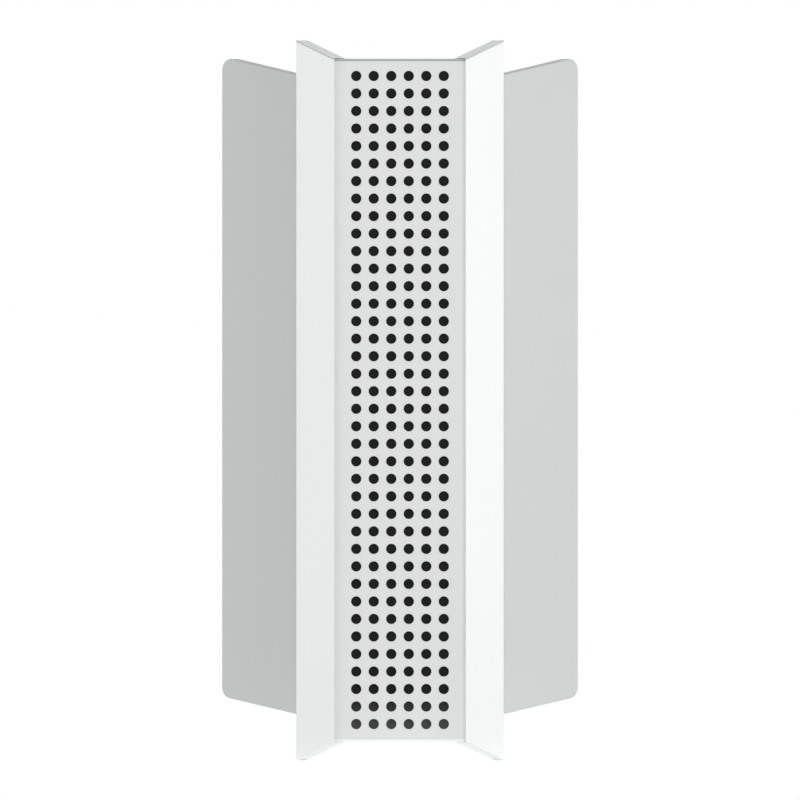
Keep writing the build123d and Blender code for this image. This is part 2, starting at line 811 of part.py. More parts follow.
print("box", box.size.X, box.size.Y, box.size.Z, "front at", box.min.Y)
print("wing hinge", hinge_x, hinge_y + centring.position.Y)
print("socket mouth", jack_face_y + centring.position.Y, "heights", jack_heights())
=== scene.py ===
import json
import math
import bmesh
import bpy
from mathutils import Matrix, Vector


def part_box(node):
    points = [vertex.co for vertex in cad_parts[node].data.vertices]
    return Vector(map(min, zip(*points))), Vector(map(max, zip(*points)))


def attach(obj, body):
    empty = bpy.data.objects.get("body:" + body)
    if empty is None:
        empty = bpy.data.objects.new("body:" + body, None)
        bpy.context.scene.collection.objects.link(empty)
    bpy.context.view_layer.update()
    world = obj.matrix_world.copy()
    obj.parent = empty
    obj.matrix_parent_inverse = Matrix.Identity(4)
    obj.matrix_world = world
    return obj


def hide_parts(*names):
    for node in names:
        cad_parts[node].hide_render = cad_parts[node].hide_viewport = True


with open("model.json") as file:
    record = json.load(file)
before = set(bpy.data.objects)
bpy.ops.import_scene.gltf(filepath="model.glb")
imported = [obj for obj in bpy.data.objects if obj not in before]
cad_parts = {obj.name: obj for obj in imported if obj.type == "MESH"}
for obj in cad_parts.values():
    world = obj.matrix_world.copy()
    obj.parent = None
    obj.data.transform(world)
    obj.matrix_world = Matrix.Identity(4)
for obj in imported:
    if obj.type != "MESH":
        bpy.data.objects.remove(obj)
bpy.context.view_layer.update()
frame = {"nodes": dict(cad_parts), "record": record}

mm = 0.001
scene = bpy.context.scene
scene.view_settings.view_transform = "Standard"


# sockets

def findSocket(sockets, key):
    if isinstance(key, int):
        return sockets[key]
    exact = [socket for socket in sockets if socket.identifier == key]
    named = [socket for socket in sockets if socket.name == key]
    return (exact or named)[0]


class Wire:
    def __init__(self, tree, socket=None):
        self.tree = tree
        self.socket = socket

    def node(self, kind, settings=None, sockets=None, out=0):
        made = self.tree.nodes.new(kind)
        for key, value in (settings or {}).items():
            setattr(made, key, value)
        for key, value in (sockets or {}).items():
            target = findSocket(made.inputs, key)
            for one in value if isinstance(value, list) else [value]:  # a list joins several links
                if isinstance(one, Wire):
                    self.tree.links.new(one.socket, target)
                else:
                    target.default_value = one
        return Wire(self.tree, findSocket(made.outputs, out))

    def math(self, operation, first, second=0.0):
        return self.node("ShaderNodeMath", {"operation": operation}, {0: first, 1: second})

    def __add__(self, other):
        return self.math("ADD", self, other)

    def __radd__(self, other):
        return self.math("ADD", other, self)

    def __sub__(self, other):
        return self.math("SUBTRACT", self, other)

    def __rsub__(self, other):
        return self.math("SUBTRACT", other, self)

    def __mul__(self, other):
        return self.math("MULTIPLY", self, other)

    def __rmul__(self, other):
        return self.math("MULTIPLY", other, self)

    def __truediv__(self, other):
        return self.math("DIVIDE", self, other)

    def __rtruediv__(self, other):
        return self.math("DIVIDE", other, self)

    def clip(self):
        return self.math("MINIMUM", self.math("MAXIMUM", self, 0.0), 1.0)


# finishes

def bareTree(owner, outputKind):
    # an empty shader tree with nothing but its output
    owner.use_nodes = True
    tree = owner.node_tree
    tree.nodes.clear()
    return tree, tree.nodes.new(outputKind)


def startFinish(name):
    material = bpy.data.materials.new(name)
    tree, output = bareTree(material, "ShaderNodeOutputMaterial")
    shader = tree.nodes.new("ShaderNodeBsdfPrincipled")
    tree.links.new(shader.outputs[0], output.inputs[0])
    spot = Wire(tree).node("ShaderNodeTexCoord", {}, {}, "Object")
    return material, shader, spot


def feed(shader, sockets):
    for key, value in sockets.items():
        if isinstance(value, Wire):
            value.tree.links.new(value.socket, shader.inputs[key])
        else:
            shader.inputs[key].default_value = value


def shade(colour, factor=1.0):
    return tuple(min(1.0, part * factor) for part in colour) + (1.0,)


def grey(level):
    return shade((level,) * 3)


def axisOf(spot, axis):
    return spot.node("ShaderNodeSeparateXYZ", {}, {"Vector": spot}, axis)


def noise(spot, scale, detail=2.0, rough=0.5):
    sockets = {"Vector": spot, "Scale": scale, "Detail": detail, "Roughness": rough}
    return spot.node("ShaderNodeTexNoise", {}, sockets)


def blendColour(factor, low, high):
    sockets = {"Factor_Float": factor, "A_Color": low, "B_Color": high}
    return factor.node("ShaderNodeMix", {"data_type": "RGBA"}, sockets, "Result_Color")


def bump(height, strength, distance):
    sockets = {"Strength": strength, "Distance": distance, "Height": height}
    return height.node("ShaderNodeBump", {}, sockets)


def mouldedPlastic(name, look):
    # a spark-eroded mould leaves a fine grain, and the resin is never quite one colour
    material, shader, spot = startFinish(name)
    mottle = noise(spot, look["mottleScale"], look["mottleDetail"])
    grain = noise(spot, look["grainScale"], rough=look["grainRough"])
    low, high = 1 - look["mottle"], 1 + look["mottle"]
    feed(shader, {
        "Base Color": blendColour(mottle, shade(look["colour"], low), shade(look["colour"], high)),
        "Roughness": look["roughness"] + (grain - 0.5) * look["roughSwing"],
        "Normal": bump(grain, look["grainStrength"], look["grainDepth"]),
        "Specular IOR Level": look["specular"],
    })
    return material


shellLook = {"colour": (0.86, 0.872, 0.866), "mottle": 0.006, "mottleScale": 45.0, "mottleDetail": 3.0,
             "grainScale": 2400.0, "grainRough": 0.6, "grainStrength": 0.06, "grainDepth": 0.03 * mm,
             "roughness": 0.5, "roughSwing": 0.08, "specular": 0.35}
grilleLook = dict(shellLook, colour=(0.702, 0.712, 0.707))
coverLook = dict(shellLook, colour=(0.80, 0.812, 0.806), grainStrength=0.12)
wingLook = dict(shellLook, colour=(0.578, 0.59, 0.584), grainScale=1900.0, grainStrength=0.08,
                roughness=0.55)
# painted shade: the dark grey of the strip along the top of the perforated front
stripShadeLook = dict(wingLook, colour=(0.43, 0.44, 0.436))
# painted shade: the dark grey of the seams along the plates' tops
seamShadeLook = dict(wingLook, colour=(0.52, 0.531, 0.527))
chassisLook = dict(shellLook, colour=(0.02, 0.02, 0.021), grainStrength=0.2, roughness=0.55)
portLook = dict(shellLook, colour=(0.016, 0.016, 0.017), mottle=0.05, roughness=0.38, specular=0.5)
uplinkLook = dict(portLook, colour=(0.03, 0.13, 0.38))
buttonLook = dict(shellLook, colour=(0.58, 0.591, 0.587), roughness=0.4)
rubberLook = dict(shellLook, colour=(0.72, 0.73, 0.727), mottle=0.05, mottleScale=400.0, roughness=0.8,
                  grainStrength=0.5, specular=0.2)
padLook = dict(rubberLook, colour=(0.36, 0.40, 0.46))
chipLook = dict(portLook, colour=(0.018, 0.018, 0.019), grainScale=5200.0, grainStrength=0.4, roughness=0.6)
plasticLooks = {
    "shellWhite": shellLook, "grilleWhite": grilleLook, "coverWhite": coverLook, "wingGrey": wingLook,
    "trimGrey": stripShadeLook, "jointGrey": seamShadeLook, "chassisBlack": chassisLook, "portBlack": portLook,
    "uplinkBlue": uplinkLook, "buttonGrey": buttonLook, "footRubber": rubberLook, "padGrey": padLook,
    "chipBlack": chipLook,
}
finishes = {name: mouldedPlastic(name, look) for name, look in plasticLooks.items()}

# the lighter colour at the screen's lower end is painted light, not dust
screenLook = {"dark": (0.0135, 0.0135, 0.0143), "thread": (0.027, 0.027, 0.028), "pitch": 0.45 * mm,
              "dusty": (0.117, 0.117, 0.118), "fadeFrom": 6.0 * mm, "fadeHeight": 15.0 * mm,
              "roughness": 0.9, "roughSwing": 0.1, "weaveStrength": 0.4, "weaveDepth": 0.05 * mm,
              "specular": 0.1}


def wovenScreen(name, look):
    material, shader, spot = startFinish(name)
    across, up = axisOf(spot, "X"), axisOf(spot, "Z")
    turns = 2 * math.pi / look["pitch"]
    weave = across.math("SINE", across * turns) * up.math("SINE", up * turns)
    thread = weave * 0.5 + 0.5  # from 0 to 1
    paintedLowLight = (1 - (up - look["fadeFrom"]) / look["fadeHeight"]).clip()  # painted light: the screen is lighter towards its lower end
    cloth = blendColour(thread, shade(look["dark"]), shade(look["thread"]))
    feed(shader, {
        "Base Color": blendColour(paintedLowLight, cloth, shade(look["dusty"])),
        "Roughness": look["roughness"] - thread * look["roughSwing"],
        "Normal": bump(thread, look["weaveStrength"], look["weaveDepth"]),
        "Specular IOR Level": look["specular"],
    })
    return material


boardLook = {"mask": (0.012, 0.085, 0.04), "trace": (0.022, 0.16, 0.075), "traceScale": 260.0,
             "traceWidth": 0.06, "traceStrength": 0.3, "traceDepth": 0.04 * mm, "viaScale": 420.0,
             "roughness": 0.34, "roughSwing": 0.12}


def circuitBoard(name, look):
    material, shader, spot = startFinish(name)
    vias = spot.node("ShaderNodeTexVoronoi", {"distance": "MANHATTAN"},
                     {"Vector": spot, "Scale": look["viaScale"]}, "Distance")
    tracks = spot.node("ShaderNodeTexBrick", {}, {
        "Vector": spot, "Scale": look["traceScale"], "Mortar Size": look["traceWidth"]}, "Fac")
    copper = tracks * (1 - vias)
    feed(shader, {
        "Base Color": blendColour(copper, shade(look["mask"]), shade(look["trace"])),
        "Roughness": look["roughness"] + vias * look["roughSwing"],
        "Normal": bump(copper, look["traceStrength"], look["traceDepth"]),
    })
    return material


tinLook = {"colour": (0.66, 0.66, 0.645), "dark": 0.9, "light": 1.06, "stretch": (1.0, 1.0, 1.0),
           "scale": 900.0, "detail": 4.0, "fineness": 0.6, "roughness": 0.32, "swing": 0.15,
           "strength": 0.12, "depth": 0.01 * mm}
aluminiumLook = dict(tinLook, colour=(0.74, 0.75, 0.76), stretch=(1.0, 1.0, 0.03), scale=2600.0,
                     strength=0.25)
zincLook = dict(tinLook, colour=(0.50, 0.505, 0.51), scale=1500.0, roughness=0.3)
goldLook = dict(tinLook, colour=(0.83, 0.62, 0.27), scale=3000.0, roughness=0.22)
metalLooks = {"shieldTin": tinLook, "sinkAluminium": aluminiumLook, "screwZinc": zincLook,
              "contactGold": goldLook}


def metal(name, look):
    material, shader, spot = startFinish(name)
    drawn = spot.node("ShaderNodeMapping", {}, {"Vector": spot, "Scale": look["stretch"]})
    streak = noise(drawn, look["scale"], look["detail"], look["fineness"])
    dark, light = shade(look["colour"], look["dark"]), shade(look["colour"], look["light"])
    feed(shader, {
        "Base Color": blendColour(streak, dark, light),
        "Metallic": 1.0,
        "Roughness": look["roughness"] + (streak - 0.5) * look["swing"],
        "Normal": bump(streak, look["strength"], look["depth"]),
    })
    return material


guideLook = {"colour": (0.92, 0.94, 0.95), "dark": 0.95, "light": 1.03, "hazeScale": 300.0,
             "hazeDetail": 3.0, "through": 0.9, "refraction": 1.49, "roughness": 0.08, "roughSwing": 0.05}
lampLook = dict(guideLook, colour=(0.82, 0.82, 0.76), through=0.1, roughness=0.3)
amberLook = dict(guideLook, colour=(0.80, 0.52, 0.16), through=0.35, roughness=0.2)
greenLook = dict(amberLook, colour=(0.30, 0.62, 0.26))
clearLooks = {"guideClear": guideLook, "lampWhite": lampLook, "lensAmber": amberLook,
              "lensGreen": greenLook}


def clearMoulding(name, look):
    material, shader, spot = startFinish(name)
    haze = noise(spot, look["hazeScale"], look["hazeDetail"])
    dark, light = shade(look["colour"], look["dark"]), shade(look["colour"], look["light"])
    feed(shader, {
        "Base Color": blendColour(haze, dark, light),
        "Roughness": look["roughness"] + haze * look["roughSwing"],
        "Transmission Weight": look["through"],
        "IOR": look["refraction"],
    })
    return material


finishes["screenBlack"] = wovenScreen("screenBlack", screenLook)
finishes["boardGreen"] = circuitBoard("boardGreen", boardLook)
finishes.update({name: metal(name, look) for name, look in metalLooks.items()})
finishes.update({name: clearMoulding(name, look) for name, look in clearLooks.items()})
print("finishes made:", len(finishes))

# each of the record's material slots takes one finish
slotFinish = {
    "white_plastic": "shellWhite", "grille_plastic": "grilleWhite", "cover_plastic": "coverWhite",
    "wing_plastic": "wingGrey", "screen_black": "screenBlack", "black_plastic": "chassisBlack",
    "circuit_board": "boardGreen", "chip_black": "chipBlack", "pad_rubber": "padGrey",
    "sink_aluminium": "sinkAluminium", "plated_steel": "shieldTin", "uplink_plastic": "uplinkBlue",
    "port_plastic": "portBlack", "button_plastic": "buttonGrey", "lamp_white": "lampWhite",
    "clear_plastic": "guideClear", "foot_rubber": "footRubber", "screw_steel": "screwZinc",
}
slotOf = {row["node"]: row["material_slot"] for row in frame["record"]["subparts"]}
bodyOf = {node: body for body, nodes in frame["record"]["behaviour"]["bodies"].items() for node in nodes}
for name, piece in frame["nodes"].items():
    for materialSlot in piece.material_slots:
        materialSlot.material = finishes[slotFinish[slotOf[name]]]
print("CAD nodes painted")


# mesh helpers

def addObject(name, data):
    made = bpy.data.objects.new(name, data)
    scene.collection.objects.link(made)
    return made


def newPiece(name, mesh, finish, body, replaced=()):
    piece = addObject(name, mesh)
    mesh.materials.clear()
    mesh.materials.append(finishes[finish])
    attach(piece, body)
    if replaced:
        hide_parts(*replaced)
    return piece


def toMesh(name, bm):
    mesh = bpy.data.meshes.new(name)
    bm.to_mesh(mesh)
    bm.free()
    return mesh


weldGap = 0.001 * mm  # points nearer than this are one point


def closeMesh(name, bm):
    bmesh.ops.remove_doubles(bm, verts=bm.verts, dist=weldGap)
    bmesh.ops.recalc_face_normals(bm, faces=bm.faces)
    return toMesh(name, bm)


def faceOutwards(mesh):
    bm = bmesh.new()
    bm.from_mesh(mesh)
    bmesh.ops.recalc_face_normals(bm, faces=bm.faces)
    bm.to_mesh(mesh)
    bm.free()


def evaluated(piece):
    graph = bpy.context.evaluated_depsgraph_get()
    return bpy.data.meshes.new_from_object(piece.evaluated_get(graph), depsgraph=graph)


def joinRings(bm, rings):
    # quads between closed rings of equal length
    for outer, inner in zip(rings, rings[1:]):
        count = len(outer)
        for i in range(count):
            j = (i + 1) % count
            bm.faces.new((outer[i], outer[j], inner[j], inner[i]))


def capRings(bm, rings):
    # the same, with a flat face at each end
    joinRings(bm, rings)
    bm.faces.new(rings[0])
    bm.faces.new(rings[-1])


def softBlock(low, high, radius, segments=2):
    bm = bmesh.new()
    bmesh.ops.create_cube(bm, size=1.0)
    low, high = Vector(low), Vector(high)
    for vert in bm.verts:
        vert.co = Vector((low[k] + (vert.co[k] + 0.5) * (high[k] - low[k]) for k in range(3)))
    bmesh.ops.bevel(bm, geom=bm.edges[:], offset=radius, segments=segments, profile=0.5, affect="EDGES")
    return closeMesh("softBlock", bm)


def lathe(profile, sides):
    # turns (radius, height) points round Z, and closes both ends
    bm = bmesh.new()
    rings = []
    for radius, height in profile:
        ring = []
        for i in range(sides):
            angle = 2 * math.pi * i / sides
            ring.append(bm.verts.new((radius * math.cos(angle), radius * math.sin(angle), height)))
        rings.append(ring)
    capRings(bm, rings)
    return closeMesh("lathe", bm)


def roundedCopy(node, look):
    # the CAD node's own form with its moulded edges rounded
    bm = bmesh.new()
    bm.from_mesh(frame["nodes"][node].data)
    bmesh.ops.remove_doubles(bm, verts=bm.verts, dist=look["merge"])
    bmesh.ops.dissolve_degenerate(bm, dist=look["merge"], edges=bm.edges)
    bmesh.ops.dissolve_limit(bm, angle_limit=math.radians(look["flat"]), verts=bm.verts, edges=bm.edges)
    plain = addObject(node + "Plain", toMesh(node + "Plain", bm))
    soft = plain.modifiers.new("soft", "BEVEL")
    soft.width = look["radius"]
    soft.segments = look["segments"]
    soft.limit_method = "ANGLE"
    soft.angle_limit = math.radians(look["angle"])
    even = plain.modifiers.new("even", "WEIGHTED_NORMAL")
    even.keep_sharp = True
    done = evaluated(plain)
    bpy.data.objects.remove(plain)
    return done


# Geometry Nodes helpers

def startTree(name, inputs):
    tree = bpy.data.node_groups.new(name, "GeometryNodeTree")
    tree.interface.new_socket("Geometry", in_out="OUTPUT", socket_type="NodeSocketGeometry")
    ids = {}
    for label, kind in inputs.items():
        socket = tree.interface.new_socket(label, in_out="INPUT", socket_type="NodeSocket" + kind)
        ids[label] = socket.identifier
    source = tree.nodes.new("NodeGroupInput")
    return tree, ids, {label: Wire(tree, source.outputs[label]) for label in inputs}


def endTree(tree, shape, finish):
    whole = shape.node("GeometryNodeRealizeInstances", {}, {"Geometry": shape})
    whole = whole.node("GeometryNodeSetMaterial", {}, {"Geometry": whole, "Material": finish})
    sink = tree.nodes.new("NodeGroupOutput")
    tree.links.new(whole.socket, sink.inputs[0])


def runTree(tree, ids, mesh, values):
    host = addObject(tree.name + "Host", mesh)
    modifier = host.modifiers.new("build", "NODES")
    modifier.node_group = tree
    for label, value in values.items():
        modifier[ids[label]] = value
    made = evaluated(host)
    host.modifiers.remove(modifier)
    bpy.data.objects.remove(host)
    return made


def pattern(name, mesh):
    # an object that a tree copies, never linked to the scene
    return bpy.data.objects.new(name, mesh)


def spots(places):
    mesh = bpy.data.meshes.new("spots")
    mesh.from_pydata([tuple(place) for place in places], [], [])
    return mesh


def objectShape(source):
    return source.node("GeometryNodeObjectInfo", {}, {"Object": source, "As Instance": True}, "Geometry")


# perforated front

frontLook = {"pitch": 5.605 * mm, "hole": 3.3 * mm, "lip": 0.14 * mm, "edge": 0.25 * mm, "edgeSteps": 3,
             "sides": 24, "thickness": 2.0 * mm, "columns": 6, "rows": 38, "closeGap": 0.13 * mm,
             "borderWeld": 0.002 * mm, "tileWeld": 0.004 * mm}
stripLook = {"height": 0.66 * mm, "back": 0.1 * mm, "depth": 1.8 * mm, "edge": 0.26 * mm, "segments": 3}
lipLook = {"height": 0.6 * mm, "proud": 0.05 * mm, "depth": 1.8 * mm, "edge": 0.12 * mm, "segments": 3}


def holeTile(look):
    # one square of the panel with its hole, front at z = 0
    half = look["pitch"] / 2
    radius = look["hole"] / 2
    lip, back = look["lip"], -look["thickness"]
    bm = bmesh.new()
    rings = []
    # no radius means the tile's own square outline
    for reach, z in ((None, 0), (radius + lip, 0), (radius, -lip), (radius, back), (None, back)):
        ring = []
        for i in range(look["sides"]):
            angle = 2 * math.pi * i / look["sides"]
            toSquare = half / max(abs(math.cos(angle)), abs(math.sin(angle)))
            out = toSquare if reach is None else reach
            ring.append(bm.verts.new((out * math.cos(angle), out * math.sin(angle), z)))
        rings.append(ring)
    joinRings(bm, rings)
    return toMesh("holeTile", bm)


def tileCuts(count, look):
    # where the tiles' corners and spokes meet the straight edge of the tiled field
    half = look["pitch"] / 2
    step = 2 * math.pi / look["sides"]
    spokes = look["sides"] // 8  # in an eighth of a turn
    cuts = [half * math.tan(i * step) for i in range(-spokes, spokes + 1)]
    middles = [(i - (count - 1) / 2) * look["pitch"] for i in range(count)]
    return sorted({round(middle + cut, 9) for middle in middles for cut in cuts})


def panelBorder(width, low, high, look):
    # the plain strip round the holes, its edges and its back
    xs, ys = tileCuts(look["columns"], look), tileCuts(look["rows"], look)
    edge, back = look["edge"], -look["thickness"]
    bm = bmesh.new()

    def ring(left, right, bottom, top, z):
        outline = [(x, bottom) for x in [left, *xs, right]] + [(right, y) for y in ys]
        outline += [(x, top) for x in [right, *reversed(xs), left]] + [(left, y) for y in reversed(ys)]
        return [bm.verts.new((x, y, z)) for x, y in outline]

    rings = [ring(xs[0], xs[-1], ys[0], ys[-1], 0)]
    for i in range(look["edgeSteps"] + 1):  # rounded above and below, square at the sides
        turn = math.pi / 2 * i / look["edgeSteps"]
        shrink, z = edge * (1 - math.sin(turn)), edge * (math.cos(turn) - 1)
        rings.append(ring(-width / 2, width / 2, low + shrink, high - shrink, z))
    rings.append(ring(-width / 2, width / 2, low, high, back))
    rings.append(ring(xs[0], xs[-1], ys[0], ys[-1], back))
    joinRings(bm, rings)
    bmesh.ops.remove_doubles(bm, verts=bm.verts, dist=look["borderWeld"])
    bmesh.ops.dissolve_degenerate(bm, dist=weldGap, edges=bm.edges)
    return toMesh("panelBorder", bm)


perforation, perforationIds, ins = startTree("perforation", {
    "Geometry": "Geometry", "Tile": "Object", "Columns": "Int", "Rows": "Int", "Pitch": "Float",
    "Weld": "Float", "Front": "Vector", "Finish": "Material"})
grid = ins["Pitch"].node("GeometryNodeMeshGrid", {}, {
    "Size X": (ins["Columns"] - 1) * ins["Pitch"], "Size Y": (ins["Rows"] - 1) * ins["Pitch"],
    "Vertices X": ins["Columns"], "Vertices Y": ins["Rows"]})
tiles = grid.node("GeometryNodeInstanceOnPoints", {}, {
    "Points": grid, "Instance": objectShape(ins["Tile"])})
tiles = tiles.node("GeometryNodeRealizeInstances", {}, {"Geometry": tiles})
panel = tiles.node("GeometryNodeJoinGeometry", {}, {"Geometry": [tiles, ins["Geometry"]]})
panel = panel.node("GeometryNodeMergeByDistance", {}, {"Geometry": panel, "Distance": ins["Weld"]})
panel = panel.node("GeometryNodeTransform", {}, {
    "Geometry": panel, "Translation": ins["Front"], "Rotation": (math.pi / 2, 0, 0)})
endTree(perforation, panel, ins["Finish"])


def perforatedFront(look, strip, lip):
    low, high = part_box("front_grille")
    middle = (low.z + high.z) / 2
    half = (high.z - low.z) / 2
    width = high.x - low.x + 2 * look["closeGap"]
    lipTop = low.z + lip["height"]
    border = panelBorder(width, lipTop - look["edge"] - middle, half - strip["height"], look)
    mesh = runTree(perforation, perforationIds, border, {
        "Tile": pattern("holeTile", holeTile(look)), "Columns": look["columns"], "Rows": look["rows"],
        "Pitch": look["pitch"], "Weld": look["tileWeld"], "Front": (0, low.y, middle),
        "Finish": finishes["grilleWhite"]})
    faceOutwards(mesh)
    newPiece("perforatedFront", mesh, "grilleWhite", "tower", ["front_grille"])
    # painted shade: the strip along the panel's top edge is dark grey to stand for the shadow line there
    block = softBlock((-width / 2, low.y + strip["back"], high.z - strip["height"]),
                      (width / 2, low.y + strip["depth"], high.z), strip["edge"], strip["segments"])
    newPiece("frontTopStrip", block, "trimGrey", "tower")
    block = softBlock((-width / 2, low.y - lip["proud"], low.z - look["closeGap"]),
                      (width / 2, low.y + lip["depth"], lipTop), lip["edge"], lip["segments"])
    newPiece("frontLowerLip", block, "shellWhite", "tower")
    print("perforated front:", len(mesh.polygons), "faces")


perforatedFront(frontLook, stripLook, lipLook)


# mouldings whose sharp CAD edges are rounded

shellEdge = {"radius": 0.15 * mm, "segments": 3, "angle": 40.0, "flat": 0.6, "merge": 0.06 * mm}
coverEdge = dict(shellEdge, radius=0.25 * mm, segments=2, merge=0.01 * mm)
jackEdge = dict(coverEdge, radius=0.2 * mm)
wingEdge = dict(coverEdge, radius=0.12 * mm)
edgeOf = {"left_side_shell": shellEdge, "right_side_shell": shellEdge, "rear_cover": coverEdge,
          "top_cover": coverEdge, "base_cover": coverEdge, "power_inlet": jackEdge, "uplink_jack": jackEdge,
          "usb_port": dict(jackEdge, radius=0.1 * mm)}
for node in frame["nodes"]:
    if node.startswith("local_jack"):
        edgeOf[node] = jackEdge
    if node.endswith("_foot"):
        edgeOf[node] = coverEdge
    if "_wing_" in node:
        edgeOf[node] = wingEdge


def camel(node, ending):
    first, *rest = node.split("_")
    return first + "".join(word.capitalize() for word in rest) + ending


for node, edge in edgeOf.items():
    mesh = roundedCopy(node, edge)
    newPiece(camel(node, "Moulding"), mesh, slotFinish[slotOf[node]], bodyOf[node], [node])
print("mouldings rounded:", len(edgeOf))

seamLook = {"proud": 0.03 * mm, "sunk": 0.25 * mm, "endGap": 0.06 * mm, "topGap": 0.02 * mm,
            "reach": 0.48 * mm, "edge": 0.02 * mm, "panelGap": 0.15 * mm}


def topSeam(side, look):
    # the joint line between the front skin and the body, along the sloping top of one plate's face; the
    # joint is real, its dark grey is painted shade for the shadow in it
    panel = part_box("front_grille")[1]
    low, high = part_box("right_side_shell")
    opening = panel.x + look["panelGap"]
    start = Vector((side * opening, low.y, panel.z))
    corner = Vector((side * high.x, low.y + high.x - opening, high.z))
    along = corner - start
    half = along.length / 2 - look["endGap"]
    axis = side * along.normalized()
    inward = Vector((-side, 1, 0)).normalized()
    up = axis.cross(inward)
    outer, inner = (-half, -look["proud"], -look["reach"]), (half, look["sunk"], -look["topGap"])
    mesh = softBlock(outer, inner, look["edge"], segments=1)
    place = Matrix((axis, inward, up)).transposed().to_4x4()
    place.translation = (start + corner) / 2
    mesh.transform(place)
    name = "rightTopSeam" if side > 0 else "leftTopSeam"
    newPiece(name, mesh, "jointGrey", "tower")


for side in (-1, 1):
    topSeam(side, seamLook)


# screws, contacts and small rear fittings

scatter, scatterIds, ins = startTree("scatter", {
    "Geometry": "Geometry", "Piece": "Object", "Turn": "Vector", "Spin": "Float", "Seed": "Int",
    "Finish": "Material"})
facing = ins["Turn"].node("FunctionNodeEulerToRotation", {}, {"Euler": ins["Turn"]})
copies = ins["Geometry"].node("GeometryNodeInstanceOnPoints", {}, {
    "Points": ins["Geometry"], "Instance": objectShape(ins["Piece"]), "Rotation": facing})
spin = ins["Seed"].node("FunctionNodeRandomValue", {"data_type": "FLOAT"}, {
    "Min_001": 0.0, "Max_001": ins["Spin"], "Seed": ins["Seed"]}, "Value_001")
about = spin.node("ShaderNodeCombineXYZ", {}, {"Z": spin})
about = about.node("FunctionNodeEulerToRotation", {}, {"Euler": about})
copies = copies.node("GeometryNodeRotateInstances", {}, {
    "Instances": copies, "Rotation": about, "Local Space": True})
endTree(scatter, copies, ins["Finish"])

facingBack = (-math.pi / 2, 0, 0)
facingDown = (math.pi, 0, 0)


def scatterCopies(mesh, places, finish, turn=(0, 0, 0), spin=0.0, seed=1):
    return runTree(scatter, scatterIds, spots(places), {
        "Piece": pattern("copied", mesh), "Turn": turn, "Spin": spin, "Seed": seed,
        "Finish": finishes[finish]})


screwLook = {"headRadius": 2.3 * mm, "headHeight": 1.5 * mm, "crown": 1.0 * mm, "crownSteps": 6,
             "flatRadius": 0.4 * mm, "shankRadius": 1.2 * mm, "tipRadius": 0.3 * mm, "tipLength": 0.6 * mm,
             "crossWidth": 0.62 * mm, "crossLength": 2.5 * mm, "crossDepth": 0.9 * mm,
             "crossEdge": 0.05 * mm, "cutAbove": 1.0 * mm, "sides": 28}


def screwProfile(look, length):
    # (radius, height) points from the tip, past the seat at 0, to the top of the pan head
    radius, height, crown = look["headRadius"], look["headHeight"], look["crown"]
    shank = look["shankRadius"]
    profile = [(look["tipRadius"], -length), (shank, look["tipLength"] - length), (shank, 0)]
    profile += [(radius, 0), (radius, height - crown)]
    for i in range(1, look["crownSteps"]):
        turn = math.pi / 2 * i / look["crownSteps"]
        profile.append((radius - crown * (1 - math.cos(turn)), height - crown * (1 - math.sin(turn))))
    return profile + [(look["flatRadius"], height)]


def crossScrew(look, length):
    # the screw stands along Z, head up, with a cross recess
    head = addObject("head", lathe(screwProfile(look, length), look["sides"]))
    arm, reach = look["crossWidth"] / 2, look["crossLength"] / 2
    bottom, top = look["headHeight"] - look["crossDepth"], look["headHeight"] + look["cutAbove"]
    cutters = []
    for x, y in ((arm, reach), (reach, arm)):
        block = softBlock((-x, -y, bottom), (x, y, top), look["crossEdge"], segments=1)
        cutters.append(addObject("cutter", block))
        cut = head.modifiers.new("cut", "BOOLEAN")
        cut.operation = "DIFFERENCE"
        cut.object = cutters[-1]
    mesh = evaluated(head)
    for helper in (head, *cutters):
        bpy.data.objects.remove(helper)
    return mesh


def screwGroup(node, turn, seed, look):
    # the screws stand where the CAD node's box says, in rows along its two wide axes
    low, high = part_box(node)
    radius = look["headRadius"]
    xs = (low.x + radius, high.x - radius)
    if node == "cover_screws":
        length = high.y - low.y - look["headHeight"]
        zs = (low.z + radius, (low.z + high.z) / 2, high.z - radius)
        places = [(x, high.y - look["headHeight"], z) for x in xs for z in zs]
    else:
        length = high.z - low.z - look["headHeight"]
        ys = (low.y + radius, high.y - radius)
        places = [(x, y, low.z + look["headHeight"]) for x in xs for y in ys]
    mesh = scatterCopies(crossScrew(look, length), places, "screwZinc", turn, math.pi, seed)
    newPiece(camel(node, "Cross"), mesh, "screwZinc", "tower", [node])


screwGroup("cover_screws", facingBack, 3, screwLook)
screwGroup("base_screws", facingDown, 5, screwLook)
print("screws set")

comb, combIds, ins = startTree("contactComb", {
    "Geometry": "Geometry", "Contact": "Object", "Count": "Int", "Pitch": "Float", "Finish": "Material"})
first = (ins["Count"] - 1) * ins["Pitch"] * -0.5
start = first.node("ShaderNodeCombineXYZ", {}, {"Z": first})
step = first.node("ShaderNodeCombineXYZ", {}, {"Z": ins["Pitch"]})
row = first.node("GeometryNodeMeshLine", {}, {
    "Count": ins["Count"], "Start Location": start, "Offset": step})
row = row.node("GeometryNodeInstanceOnPoints", {}, {
    "Points": row, "Instance": objectShape(ins["Contact"])})
combs = row.node("GeometryNodeInstanceOnPoints", {}, {"Points": ins["Geometry"], "Instance": row})
endTree(comb, combs, ins["Finish"])


def contactRow(places, contact, count, pitch):
    # one row of gold contacts along Z at each place
    return runTree(comb, combIds, spots(places), {
        "Contact": pattern("contact", contact), "Count": count, "Pitch": pitch,
        "Finish": finishes["contactGold"]})


def ribbon(path, thickness, width):
    # a strip along a path in XY, its width along Z
    bm = bmesh.new()
    rings = []
    points = [Vector(point) for point in path]
    for i, point in enumerate(points):
        along = points[min(i + 1, len(points) - 1)] - points[max(i - 1, 0)]
        side = Vector((-along.y, along.x)).normalized() * thickness / 2
        corners = ((side, -1), (side, 1), (-side, 1), (-side, -1))
        rings.append([bm.verts.new((*(point + off), end * width / 2)) for off, end in corners])
    capRings(bm, rings)
    return closeMesh("ribbon", bm)


